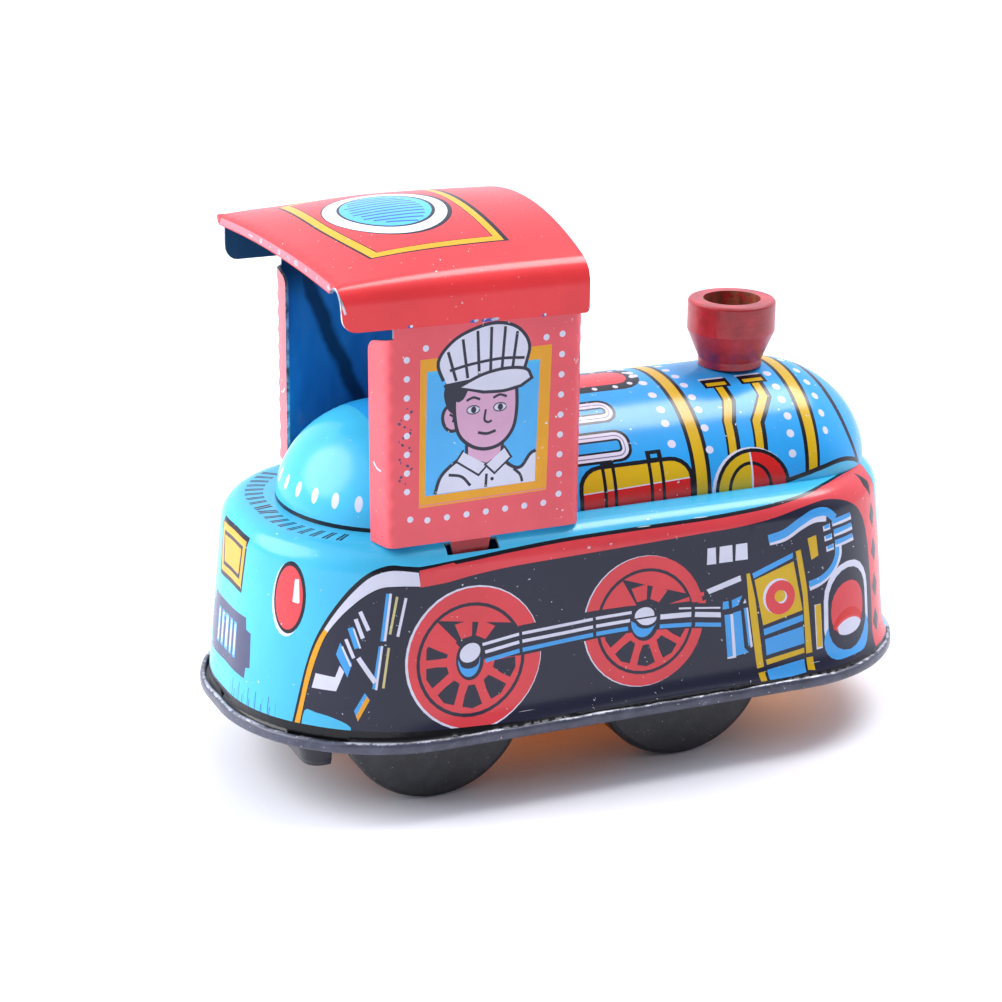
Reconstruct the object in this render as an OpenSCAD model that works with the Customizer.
// Tin clockwork train locomotive: printed pressed body on a black base plate, folded cab,
// wooden chimney, four wheels and a spring motor wound by a key on the left side.
// +X is the front, +Z is up and +Y is the left side. The origin is on the ground under
// the middle of the base plate.

/* [Base and body] */
// Length over the crimped rim
rim_length = 90; // [86:1:94]
// Width over the crimped rim
rim_width = 46; // [44:1:48]
// Corner radius of the rim, nearly half its width
rim_corner = 21; // [19:0.5:21.5]
// Height of the underside of the rim above the ground
rim_z = 8.4; // [8:0.1:9]
// Height of the flat shelf beside the boiler
shelf_z = 32.5; // [32:0.1:33]
// Inward lean of the tub's side, in degrees
draft = 5.5; // [4:0.5:7]
// Radius of the shoulder between side and shelf
shoulder = 3; // [2:0.1:3.4]
// Thickness of the tin sheet
tin = 0.4; // [0.3:0.05:0.45]

/* [Boiler] */
// Half width of the boiler at its foot
boiler_half = 14.7; // [14:0.1:15]
// Height of the boiler's top above the ground
boiler_top = 44; // [43.5:0.1:44.5]
// Where the rear dome starts
dome_rear_x = -22; // [-23:0.5:-21]
// Length of the rear dome
dome_rear_length = 13.8; // [13:0.1:14.5]
// Where the front dome starts
dome_front_x = 28; // [27:0.5:28.5]
// Length of the front dome
dome_front_length = 13.4; // [12.5:0.1:13.5]

/* [Cab] */
// Rear edge of the cab's side
cab_rear_x = -29.5; // [-30:0.1:-29]
// Front face of the cab
cab_front_x = -5.5; // [-6:0.1:-5]
// Width over the cab's sides
cab_width = 37.6; // [37:0.1:38]
// Rear edge of the roof
roof_rear_x = -36.6; // [-37:0.1:-35]
// Width over the roof's skirts
roof_width = 39.2; // [39:0.1:40]
// Lower edge of the roof's skirt
skirt_z = 58.2; // [58:0.1:59]
// Height where skirt and arch meet
eaves_z = 63.6; // [63:0.1:64]
// Rise of the arch at the front of the roof
arch_rise = 4.4; // [3:0.1:5]

/* [Chimney] */
// Position of the chimney along the boiler
chimney_x = 23.9; // [22:0.1:25]
// Radius of the chimney's rim
chimney_r = 5.5; // [5:0.1:5.6]
// Radius of the chimney's bore
chimney_bore_r = 3.6; // [3:0.1:4]
// Height of the chimney
chimney_height = 8.4; // [8:0.1:9]

/* [Wheels] */
// Radius of the four wheels
wheel_r = 11.5; // [11:0.1:12]
// Width of a wheel
wheel_width = 4; // [3:0.1:4.5]
// Outer face of the wheels from the middle
wheel_face = 17.5; // [17:0.1:18]
// Rear axle position
rear_axle_x = -23; // [-23.5:0.1:-22.5]
// Front axle position
front_axle_x = 9.5; // [9.5:0.1:10.5]
// Radius of both axles
axle_r = 1; // [0.8:0.05:1.1]

/* [Motor] */
// Gear module
gear_module = 0.6; // [0.6:0.6:0.6]
// Teeth of the rear axle pinion
axle_teeth = 12; // [12:1:12]
// Teeth of the second wheel
second_teeth = 30; // [30:1:30]
// Teeth of the second pinion
second_pinion_teeth = 10; // [10:1:10]
// Teeth of the great wheel
great_teeth = 36; // [36:1:36]
// Teeth of the escape pinion
escape_pinion_teeth = 8; // [8:1:8]
// Points of the star-shaped escape wheel
star_points = 8; // [8:1:8]
// Teeth of the ratchet wheel
ratchet_teeth = 12; // [12:1:12]
// Inner face of the motor's side plates from the middle
plate_inner = 6.4; // [6.4:0.1:6.8]
// Thickness of the side plates and gears
plate_t = 0.6; // [0.5:0.05:0.7]
// Turns of the mainspring
spring_turns = 8; // [5:1:9]

/* [Hidden] */
$fn = 64;
// Running clearance between a shaft and its bearing, and the gap between fixed neighbours
run = 0.05;
gap = 0.1;
eps = 0.01;

// Crimped edge and body flange
rim_height = 1.6;
body_inset = 1.2;
flange_inset = 0.5;
flange_z = rim_z + tin + 0.05;
side_z = rim_z + rim_height + 0.1;

// Sunk pan of the base plate
pan_z = 5.1;
pan_rear_x = -38.6;
pan_front_x = 26;
pan_half = 12;
slot_in = 12.9;
slot_out = 18.1;
slot_half = 12.2;
ear_y = 9.4;
ear_half = 3.2;

// Boiler section
boiler_foot_z = 32;
boiler_rise = boiler_top - boiler_foot_z;
boiler_sink = 2.5;

// Cab tabs through the shelf
tab_x0 = -22;
tab_x1 = -17;
tab_depth = 3.2;

// Rear flanges of the cab
flange_w = 4;
flange_bend = 75;

// Motor pivots, as [x, z]
rear_centre = [rear_axle_x, wheel_r];
front_centre = [front_axle_x, wheel_r];
second_angle = 31;
great_angle = 15;
escape_angle = 110;
second = rear_centre + mesh_distance(axle_teeth, second_teeth) * heading(second_angle);
great = second + mesh_distance(second_pinion_teeth, great_teeth) * heading(great_angle);
escape = second + mesh_distance(escape_pinion_teeth, second_teeth) * heading(escape_angle);
pallet_rise = 8.2;
pallet_centre = escape + [0, pallet_rise];
post = [14.6, 17];
pillars = [[-28.5, 16], [-27.5, 30], [-2, 36.5], post];
pillar_r = 1.2;
rivet_r = 0.7;

// Layers of the motor along Y, each the right-hand face of its piece
spring_y = -5.8;
spring_width = 5;
great_y = 2;
ratchet_y = 3.1;
second_y = 4.7;
star_y = -2.2;
arbor_r = 1.5;
thin_r = 0.7;
great_t = 0.8;

// Ratchet and click
ratchet_root = 3.1;
ratchet_tip = 4.2;
click_pivot = great + 7.6 * heading(60);
click_t = 0.8;
click_angle = 18;

// Winding key
key_y = 24;
key_wing = 6.6;
key_lobe = 5;
key_t = 1.2;

// ---------- helpers ----------

function heading(a) = [cos(a), sin(a)];
function mesh_distance(a, b) = (a + b) * gear_module / 2;
// Angle of a tooth of gear b that meshes with gear a, seen from a's centre at angle phi
function mesh_phase(phi, phase_a, a, b) = phi + 180 + (phi - phase_a) * a / b + 180 / b;

// The rim's outline drawn in by d, as points at height z
corner_steps = 9;
function outline(d, z) = [
    for (q = [0:3], i = [0:corner_steps - 1])
        let (
            a = q * 90 + i * 90 / (corner_steps - 1),
            sx = (q == 0 || q == 3) ? 1 : -1,
            sy = (q < 2) ? 1 : -1
        )
        [
            sx * (rim_length / 2 - rim_corner) + (rim_corner - d) * cos(a),
            sy * (rim_width / 2 - rim_corner) + (rim_corner - d) * sin(a),
            z
        ]
];

// Outline of the boiler at height z: straight sides and elliptic ends, all drawn in by d
dome_steps = 12;
function boiler_ring(d, z) =
    let (k = sqrt(max(0, 1 - pow((z - boiler_foot_z) / (boiler_rise - d), 2))))
    [
        for (i = [0:dome_steps])
            let (a = -90 + 180 * i / dome_steps)
            [
                dome_front_x + (dome_front_length - d) * k * cos(a),
                (boiler_half - d) * k * sin(a),
                z
            ],
        for (i = [0:dome_steps])
            let (a = 90 + 180 * i / dome_steps)
            [
                dome_rear_x + (dome_rear_length - d) * k * cos(a),
                (boiler_half - d) * k * sin(a),
                z
            ]
    ];

// Solid through a stack of rings that all have the same number of points
module loft(rings) {
    n = len(rings[0]);
    m = len(rings);
    points = [for (r = rings) each r];
    faces = concat(
        [[for (i = [0:n - 1]) i]],
        [
            for (j = [0:m - 2], i = [0:n - 1])
                [j * n + i, (j + 1) * n + i, (j + 1) * n + (i + 1) % n, j * n + (i + 1) % n]
        ],
        [[for (i = [n - 1:-1:0]) (m - 1) * n + i]]
    );
    polyhedron(points, faces, convexity = 6);
}

// Sheet of thickness t under a grid of points, with the grid's normals pointing out
module sheet(grid, t) {
    rows = len(grid);
    cols = len(grid[0]);
    last = rows * cols;
    under = [
        for (j = [0:rows - 1]) [
            for (i = [0:cols - 1])
                let (
                    u = grid[j][min(i + 1, cols - 1)] - grid[j][max(i - 1, 0)],
                    v = grid[min(j + 1, rows - 1)][i] - grid[max(j - 1, 0)][i],
                    n = cross(u, v)
                )
                grid[j][i] - t * n / norm(n)
        ]
    ];
    points = [for (r = grid) each r, for (r = under) each r];
    edge = concat(
        [for (i = [0:cols - 2]) [i, i + 1]],
        [for (j = [0:rows - 2]) [j * cols + cols - 1, (j + 1) * cols + cols - 1]],
        [for (i = [cols - 1:-1:1]) [(rows - 1) * cols + i, (rows - 1) * cols + i - 1]],
        [for (j = [rows - 1:-1:1]) [j * cols, (j - 1) * cols]]
    );
    faces = concat(
        [
            for (j = [0:rows - 2], i = [0:cols - 2], half = [0, 1])
                let (a = j * cols + i, b = a + 1, c = a + cols + 1, d = a + cols)
                half == 0 ? [a, c, b] : [a, d, c]
        ],
        [
            for (j = [0:rows - 2], i = [0:cols - 2], half = [0, 1])
                let (a = last + j * cols + i, b = a + 1, c = a + cols + 1, d = a + cols)
                half == 0 ? [a, b, c] : [a, c, d]
        ],
        [
            for (e = edge, half = [0, 1])
                half == 0 ? [e[0], e[1], last + e[1]] : [e[0], last + e[1], last + e[0]]
        ]
    );
    polyhedron(points, faces, convexity = 6);
}

// Flat shape drawn in X and Z, from y0 towards +Y for a thickness t
module upright(y0, t) {
    translate([0, y0 + t, 0]) rotate([90, 0, 0]) linear_extrude(t) children();
}

// Flat shape drawn in Y and Z, from x0 towards +X for a length
module along_x(x0, length) {
    translate([x0, 0, 0]) rotate([90, 0, 90]) linear_extrude(length) children();
}

// Round bar along Y between two positions, through a point [x, z]
module bar(p, r, y0, y1) {
    translate([p[0], y1, p[1]]) rotate([90, 0, 0]) cylinder(h = y1 - y0, r = r);
}

// Rounded rectangle of the rim's outline, drawn in by d, as a flat shape with true arcs
module rim_shape(d) {
    x = rim_length / 2 - rim_corner;
    y = rim_width / 2 - rim_corner;
    r = rim_corner - d;
    square([2 * x, 2 * (y + r)], center = true);
    square([2 * (x + r), 2 * y], center = true);
    for (sx = [-1, 1], sy = [-1, 1]) translate([sx * x, sy * y]) circle(r);
}

// Narrow straight-flanked gear: teeth, bore radius and the angle of one tooth
module gear(teeth, bore, phase) {
    pitch = teeth * gear_module / 2;
    tip = pitch + 0.85 * gear_module;
    root = pitch - 1.15 * gear_module;
    step = 360 / teeth;
    difference() {
        polygon([
            for (i = [0:teeth - 1], k = [0:3])
                let (
                    a = phase + i * step + [-0.27, -0.1, 0.1, 0.27][k] * step,
                    r = (k == 1 || k == 2) ? tip : root
                )
                r * heading(a)
        ]);
        circle(bore);
    }
}

// ---------- body ----------

// Rings of the tub drawn in by d, from the foot of its drafted side up to the shelf
function tub_rings(d) =
    let (
        lean = tan(draft),
        top_inset = body_inset + d + (shelf_z - side_z) * lean,
        bend = shoulder - d
    )
    [
        outline(body_inset + d, side_z),
        for (a = [0:18:90])
            let (
                inset = top_inset + bend * (1 - cos(a)) - (90 - a) / 90 * bend * lean,
                z = shelf_z - d - bend * (1 - sin(a))
            )
            outline(inset, z)
    ];

// Outer or inner form of the boiler with both domes, drawn in by d
module boiler(d) {
    steps = 9;
    loft([
        [for (p = boiler_ring(d, boiler_foot_z)) [p[0], p[1], boiler_foot_z - boiler_sink]],
        for (i = [0:steps - 1]) boiler_ring(d, boiler_foot_z + (boiler_rise - d) * sin(i * 90 / steps)),
        boiler_ring(d, boiler_foot_z + (boiler_rise - d) * 0.9985)
    ]);
}

module body_shell() {
    color("deepskyblue") difference() {
        union() {
            // flange held by the base plate's crimp, short upright wall, drafted side, shelf
            loft(concat(
                [
                    outline(flange_inset, flange_z),
                    outline(flange_inset, flange_z + tin),
                    outline(body_inset, flange_z + tin)
                ],
                tub_rings(0)
            ));
            boiler(0);
        }
        loft(concat([outline(body_inset + tin, flange_z - 1)], tub_rings(tin)));
        boiler(tin);
        // holes for the chimney nail, the key and the cab's tabs
        translate([chimney_x, 0, boiler_top - 4]) cylinder(h = 6, r = 1);
        bar(great, 2.6, 10, 25);
        for (side = [-1, 1])
            translate([tab_x0 - gap, side * (cab_width / 2 - tin / 2) - 0.45, shelf_z - 5])
                cube([tab_x1 - tab_x0 + 2 * gap, 0.9, 7]);
    }
}

// ---------- base plate ----------

module pan_shape(d) {
    translate([pan_rear_x + d, -pan_half + d])
        square([pan_front_x - pan_rear_x - 2 * d, 2 * (pan_half - d)]);
}

// Ear turned up from the base plate to carry the front axle
module ear(y) {
    difference() {
        upright(y, plate_t) union() {
            translate([front_centre[0] - ear_half, pan_z + eps]) square([2 * ear_half, wheel_r - pan_z]);
            translate(front_centre) circle(ear_half);
        }
        bar(front_centre, axle_r + run, y - 1, y + 2);
    }
}

module base_plate() {
    pan_wall = tin;
    color("#26262c") difference() {
        union() {
            // crimped edge: floor, outer wall and turned-in lip
            translate([0, 0, rim_z]) linear_extrude(tin) rim_shape(0);
            translate([0, 0, rim_z]) linear_extrude(rim_height) difference() {
                rim_shape(0);
                rim_shape(tin);
            }
            translate([0, 0, rim_z + rim_height - tin]) linear_extrude(tin) difference() {
                rim_shape(0);
                rim_shape(body_inset - gap);
            }
            // sunk pan
            translate([0, 0, pan_z]) linear_extrude(rim_z + tin - pan_z) pan_shape(0);
        }
        translate([0, 0, pan_z + tin]) linear_extrude(10) pan_shape(pan_wall);
        // wheel slots
        for (x = [rear_axle_x, front_axle_x], side = [-1, 1])
            translate([x - slot_half, side > 0 ? slot_in : -slot_out, rim_z - 1])
                cube([2 * slot_half, slot_out - slot_in, 1 + tin + eps]);
        // slots for the motor plates' tabs
        for (x = [-30, 8], side = [-1, 1])
            translate([x - 2, side * (plate_inner + plate_t / 2) - plate_t / 2 - gap, pan_z - 1])
                cube([4, plate_t + 2 * gap, 2]);
    }
    color("#26262c") for (side = [-1, 1]) ear(side * (ear_y + plate_t / 2) - plate_t / 2);
}

// ---------- cab ----------

// Height of the roof's outer face at distance y from the middle, for an arch of rise h
roof_half = roof_width / 2;
bend_r = 1.8;
function arch_z(y, h) = eaves_z + h * (1 - pow(y / roof_half, 2));

module cab_wall() {
    half = cab_width / 2;
    clear = 0.25;
    corner = 1.2;
    color("#ee5a60") {
        difference() {
            translate([0, 0, shelf_z + gap]) linear_extrude(boiler_top + 24 - shelf_z) difference() {
                cab_plan(half, corner);
                cab_plan(half - tin, corner - tin);
                translate([cab_rear_x - 5, -half - 1]) square([5 + eps, 2 * half + 2]);
                translate([cab_rear_x - 1, -half + tin]) square([1.5, 2 * half - 2 * tin]);
            }
            // arch over the boiler
            along_x(cab_front_x - 4, 6)
                polygon([
                    for (a = [0:6:360])
                        [
                            (boiler_half + clear) * cos(a),
                            boiler_foot_z + (boiler_rise + clear) * sin(a)
                        ]
                ]);
            // top cut to the roof's arch, and low enough for the eaves at the sides
            along_x(cab_rear_x - 3, cab_front_x - cab_rear_x + 6)
                polygon(concat(
                    [[-half - 2, 80], [-half - 2, eaves_z - bend_r], [-half + 0.5, eaves_z - bend_r]],
                    [for (i = [-8:8]) let (y = i * (half - 1.5) / 8) [y, arch_z(y, arch_rise) - tin - 0.6]],
                    [[half - 0.5, eaves_z - bend_r], [half + 2, eaves_z - bend_r], [half + 2, 80]]
                ));
        }
        for (side = [-1, 1]) {
            // rear flange, turned in towards the middle
            mirror([0, side > 0 ? 1 : 0, 0]) translate([cab_rear_x, -half, shelf_z + gap])
                rotate(180 - flange_bend) flange();
            // tab through the shelf
            translate([tab_x0, side * (half - tin / 2) - tin / 2, shelf_z - tab_depth])
                cube([tab_x1 - tab_x0, tin, tab_depth + gap + eps]);
        }
    }
}

// One rear flange, upright along +X, with a rounded top corner
module flange() {
    height = 24;
    r = 1.4;
    rotate([90, 0, 0]) linear_extrude(tin) union() {
        square([flange_w, height - r]);
        square([flange_w - r, height]);
        translate([flange_w - r, height - r]) circle(r);
    }
}

module cab_plan(half, corner) {
    x1 = cab_front_x - (cab_width / 2 - half);
    translate([cab_rear_x - 3, -half]) square([x1 - corner - cab_rear_x + 3, 2 * half]);
    translate([x1 - corner - 1, -half + corner]) square([corner + 1, 2 * (half - corner)]);
    for (side = [-1, 1]) translate([x1 - corner, side * (half - corner)]) circle(corner);
}

// Roof section at x: skirt, bend, arch, bend, skirt, as points from -Y to +Y
function roof_row(x, h, low, drop) =
    let (
        inner = roof_half - bend_r,
        z_bend = arch_z(inner, h) - 0.15,
        left = [
            [x, -roof_half, low],
            [x, -roof_half, z_bend - bend_r - 0.3],
            for (a = [20:20:80])
                [
                    x,
                    -inner - bend_r * cos(a),
                    z_bend - bend_r + bend_r * sin(a) - drop * a / 90
                ]
        ],
        middle = [for (i = [-8:8]) let (y = i * inner / 8) [x, y, arch_z(y, h) - drop]]
    )
    concat(left, middle, [for (i = [len(left) - 1:-1:0]) [x, -left[i][1], left[i][2]]]);

// Share of the full arch at x: the rear edge keeps a little of it, the front has all of it
rear_drop = 0.79;
function arch_share(x) =
    1 - rear_drop * pow(max(0, (cab_front_x - x) / (cab_front_x - roof_rear_x)), 3.5);

module cab_roof() {
    front = cab_front_x + 0.2;
    rear_rise = arch_rise * arch_share(roof_rear_x);
    rows = concat(
        [roof_row(roof_rear_x - 0.1, rear_rise, eaves_z - 3.4, 1.1)],
        [roof_row(roof_rear_x + 0.15, rear_rise, skirt_z + 0.6, 0.35)],
        [roof_row(roof_rear_x + 0.8, arch_rise * arch_share(roof_rear_x + 0.8), skirt_z + 0.1, 0)],
        [
            for (i = [1:7])
                let (x = roof_rear_x + 0.8 + (front - roof_rear_x - 0.8) * i / 7)
                roof_row(x, arch_rise * arch_share(min(x, cab_front_x)), skirt_z, 0)
        ]
    );
    color("#ef3f41") sheet([for (r = rows) [for (i = [len(r) - 1:-1:0]) r[i]]], tin);
}

// ---------- chimney ----------

module chimney() {
    neck = 4;
    band = 3.9;
    round_r = 0.4;
    floor_z = 2.2;
    h = chimney_height;
    color("#8e2026") translate([chimney_x, 0, boiler_top + 0.02]) rotate_extrude() polygon([
        [0.85, 0],
        [neck, 0],
        [neck, 0.9],
        [chimney_r, h - band],
        for (a = [0:30:90])
            [chimney_r - round_r * (1 - cos(a)), h - round_r * (1 - sin(a))],
        [chimney_bore_r, h],
        [chimney_bore_r, h - 4.6],
        [2.4, floor_z],
        [0.85, floor_z]
    ]);
}

module chimney_nail() {
    color("silver") translate([chimney_x, 0, boiler_top]) {
        translate([0, 0, 2.3]) cylinder(h = 0.5, r = 1.6);
        translate([0, 0, -2.2]) cylinder(h = 4.6, r = 0.75);
        translate([-0.75, -0.75, -2.6]) cube([3.6, 1.5, 0.5]);
    }
}

// ---------- motor frame ----------

module plate_shape() {
    difference() {
        union() {
            hull() {
                translate(pillars[0]) circle(2.6, $fn = 32);
                translate(pillars[1]) circle(2.6, $fn = 32);
                translate(pallet_centre) circle(2.2, $fn = 32);
                translate(pillars[2]) circle(2.6, $fn = 32);
                translate(post) circle(2.6, $fn = 32);
                translate([-32, pan_z + tin + gap]) square([46, 1]);
            }
            for (x = [-30, 8]) translate([x - 1.8, pan_z - 1.1]) square([3.6, 3]);
        }
        // windows that save tin, as on the real plates
        translate([-24, 26]) circle(2.6);
        translate([6.5, 8.5]) circle(0.9);
    }
}

module motor_plate(y) {
    color("#b9bcc2") difference() {
        upright(y, plate_t) plate_shape();
        for (p = [rear_centre, second, escape, pallet_centre])
            bar(p, (p == rear_centre ? axle_r : thin_r) + run, y - 1, y + 2);
        bar(great, arbor_r + run, y - 1, y + 2);
        bar(front_centre, axle_r + 0.6, y - 1, y + 2);
        for (p = pillars) bar(p, rivet_r + 0.02, y - 1, y + 2);
    }
}

module motor_plate_left() motor_plate(plate_inner);
module motor_plate_right() motor_plate(-plate_inner - plate_t);

// Pillar with thinner riveted ends
module pillar(p) {
    end = plate_inner + plate_t;
    color("#c9a64a") {
        bar(p, pillar_r, -plate_inner + 0.02, plate_inner - 0.02);
        bar(p, rivet_r, -end - 0.02, end + 0.02);
        for (y = [-end - 0.42, end + 0.02]) bar(p, 1.1, y, y + 0.4);
    }
}

module pillar_rear_low() pillar(pillars[0]);
module pillar_rear_high() pillar(pillars[1]);
module pillar_front_high() pillar(pillars[2]);
module spring_post() pillar(post);

// Spiral strip, hooked round its post by a loop at the outer end
module mainspring() {
    inner = arbor_r + 0.35;
    outer = 9.2;
    strip = 0.22;
    steps = spring_turns * 24;
    toward = atan2(post[1] - great[1], post[0] - great[0]);
    function spiral_r(i) = inner + (outer - inner) * i / steps;
    function at(i, d) = great + (spiral_r(i) + d) * heading(toward - 40 + (i - steps) * 15);
    loop_r = pillar_r + 0.15;
    color("#70757f") upright(spring_y, spring_width) polygon(concat(
        [for (i = [0:steps]) at(i, 0)],
        [great + (outer + 0.9) * heading(toward - 18)],
        [for (a = [-70:20:150]) post + loop_r * heading(toward + a)],
        [for (a = [150:-20:-70]) post + (loop_r + strip) * heading(toward + a)],
        [great + (outer + 0.9 + strip) * heading(toward - 19)],
        [for (i = [steps:-1:0]) at(i, strip)]
    ));
}

// ---------- axles and wheels ----------

module wheel(x, side) {
    edge = 0.7;
    t = 0.5;
    w = wheel_width;
    color("#2b2b34") translate([x, side * wheel_face, wheel_r]) rotate([side * 90, 0, 0])
        rotate_extrude($fn = 96) polygon([
            [axle_r + 0.02, 0],
            [wheel_r - edge, 0],
            [wheel_r - 0.2, 0.2],
            [wheel_r, edge],
            [wheel_r, w - 0.3],
            [wheel_r - 0.3, w],
            [wheel_r - t, w],
            [wheel_r - t, t + 0.4],
            [wheel_r - t - 0.4, t],
            [3.4, t],
            [3.4, w - 0.6],
            [axle_r + 0.02, w - 0.6]
        ]);
}

module axle(x) {
    end = wheel_face + 0.5;
    color("#9a9ca3") {
        bar([x, wheel_r], axle_r, -end, end);
        for (y = [-end, wheel_face + 0.02]) bar([x, wheel_r], 1.7, y, y + 0.48);
    }
}

module rear_axle() axle(rear_axle_x);
module front_axle() axle(front_axle_x);
module rear_wheel_left() wheel(rear_axle_x, 1);
module rear_wheel_right() wheel(rear_axle_x, -1);
module front_wheel_left() wheel(front_axle_x, 1);
module front_wheel_right() wheel(front_axle_x, -1);

// ---------- gear train ----------

axle_phase = second_angle;
second_phase = mesh_phase(second_angle, axle_phase, axle_teeth, second_teeth);
pinion_phase = great_angle;
great_phase = mesh_phase(great_angle, pinion_phase, second_pinion_teeth, great_teeth);
escape_phase = mesh_phase(escape_angle, second_phase, second_teeth, escape_pinion_teeth);

// Gear on a centre, from y0, on a shaft of radius r
module gear_at(p, teeth, phase, y0, t, r) {
    upright(y0, t) translate(p) gear(teeth, r, phase);
}

module rear_axle_pinion() {
    color("#c9a64a") gear_at(rear_centre, axle_teeth, axle_phase, second_y - 0.5, 1.6, axle_r + 0.02);
}

module second_arbor() {
    color("#9a9ca3") bar(second, thin_r, -plate_inner - plate_t - 0.3, plate_inner + plate_t + 0.3);
}

module second_pinion() {
    color("#c9a64a")
        gear_at(second, second_pinion_teeth, pinion_phase, great_y - 0.4, 1.6, thin_r + 0.02);
}

module second_wheel() {
    color("#c9a64a") difference() {
        gear_at(second, second_teeth, second_phase, second_y, plate_t, thin_r + 0.02);
        upright(second_y - 1, 3) for (a = [0:90:270]) translate(second + 4.8 * heading(a)) circle(2);
    }
}

module great_wheel() {
    color("#c9a64a") difference() {
        gear_at(great, great_teeth, great_phase, great_y, great_t, arbor_r + run);
        bar(click_pivot, 0.52, great_y - 1, great_y + 2);
    }
}

module click_rivet() {
    color("#9a9ca3") {
        bar(click_pivot, 0.5, great_y - 0.02, ratchet_y + click_t + 0.1);
        bar(click_pivot, 0.9, great_y - 0.4, great_y - 0.02);
        bar(click_pivot, 0.9, ratchet_y + click_t + 0.1, ratchet_y + click_t + 0.4);
    }
}

// Slender arm whose tip rests in the ratchet's teeth
module click() {
    tip = great + (ratchet_root + 0.45) * heading(click_angle);
    middle = tip + 2.6 * heading(85);
    color("#70757f") difference() {
        upright(ratchet_y, click_t) {
            hull() {
                translate(tip) circle(0.15, $fn = 16);
                translate(middle) circle(0.3, $fn = 16);
            }
            hull() {
                translate(middle) circle(0.3, $fn = 16);
                translate(click_pivot) circle(1, $fn = 32);
            }
        }
        bar(click_pivot, 0.5 + run, ratchet_y - 1, ratchet_y + 2);
    }
}

// Bent wire on the great wheel that presses the click
module click_spring() {
    wire = 0.3;
    y = great_y + great_t + 0.02;
    color("#70757f") upright(y, 0.5) difference() {
        translate(great) difference() {
            circle(9.2);
            circle(9.2 - wire);
            rotate(click_angle - 10) translate([-12, -24]) square([24, 24]);
            rotate(75) translate([-12, 0]) square([24, 24]);
        }
        translate(click_pivot) circle(0.95);
    }
}

module ratchet_wheel() {
    step = 360 / ratchet_teeth;
    color("#9a9ca3") upright(ratchet_y, click_t) translate(great) difference() {
        polygon([
            for (i = [0:ratchet_teeth - 1], k = [0, 1])
                (k == 0 ? ratchet_tip : ratchet_root) * heading(click_angle + i * step + (k == 0 ? -8 : -4))
        ]);
        circle(arbor_r + 0.02);
    }
}

module winding_arbor() {
    color("#9a9ca3") bar(great, arbor_r, -plate_inner - plate_t - 0.4, key_y + 5);
}

// Butterfly key: a round hub on the arbor and two flat lobes
module winding_key() {
    color("#b9bcc2") difference() {
        union() {
            bar(great, 2.6, key_y, key_y + 6);
            translate([0, 0, great[1]]) along_x(great[0] - key_t / 2, key_t) {
                for (side = [-1, 1]) translate([key_y + 8, side * key_wing]) circle(key_lobe);
                translate([key_y + 3, -key_wing]) square([7, 2 * key_wing]);
            }
        }
        bar(great, arbor_r + 0.02, key_y - 1, key_y + 5.02);
        translate([0, 0, great[1]]) along_x(great[0] - 2, 4)
            for (side = [-1, 1]) translate([key_y + 8, side * (key_wing + 0.6)]) circle(1.6);
    }
}

module escape_arbor() {
    color("#9a9ca3") bar(escape, thin_r, -plate_inner - plate_t - 0.3, plate_inner + plate_t + 0.3);
}

module escape_pinion() {
    color("#c9a64a")
        gear_at(escape, escape_pinion_teeth, escape_phase, second_y - 0.5, 1.6, thin_r + 0.02);
}

module escape_wheel() {
    tip = 5;
    root = 2.7;
    step = 360 / star_points;
    color("#c9a64a") upright(star_y, 1) translate(escape) difference() {
        polygon([
            for (i = [0:star_points - 1], k = [0:2])
                (k == 1 ? tip : root) * heading((i + [-0.28, 0, 0.28][k]) * step)
        ]);
        circle(thin_r + 0.02);
    }
}

module pallet_arbor() {
    color("#9a9ca3") bar(pallet_centre, thin_r, -plate_inner - plate_t - 0.3, plate_inner + plate_t + 0.3);
}

module pallet() {
    reach = 4.9;
    drop = 5.5;
    color("#70757f") upright(star_y - 0.1, 1.2) difference() {
        union() {
            for (side = [-1, 1]) {
                hull() {
                    translate(pallet_centre) circle(1.6, $fn = 32);
                    translate(pallet_centre + [side * (reach + 0.4), -1.2]) circle(0.8, $fn = 32);
                }
                hull() {
                    translate(pallet_centre + [side * (reach + 0.4), -1.2]) circle(0.8, $fn = 32);
                    translate(pallet_centre + [side * reach, -drop]) circle(0.35, $fn = 32);
                }
            }
        }
        translate(pallet_centre) circle(thin_r + 0.02);
    }
}

body_shell();
base_plate();
cab_wall();
cab_roof();
chimney();
chimney_nail();
motor_plate_left();
motor_plate_right();
pillar_rear_low();
pillar_rear_high();
pillar_front_high();
spring_post();
mainspring();
rear_axle();
rear_axle_pinion();
rear_wheel_left();
rear_wheel_right();
front_axle();
front_wheel_left();
front_wheel_right();
great_wheel();
click_rivet();
click_spring();
click();
winding_arbor();
ratchet_wheel();
winding_key();
second_arbor();
second_pinion();
second_wheel();
escape_arbor();
escape_pinion();
escape_wheel();
pallet_arbor();
pallet();
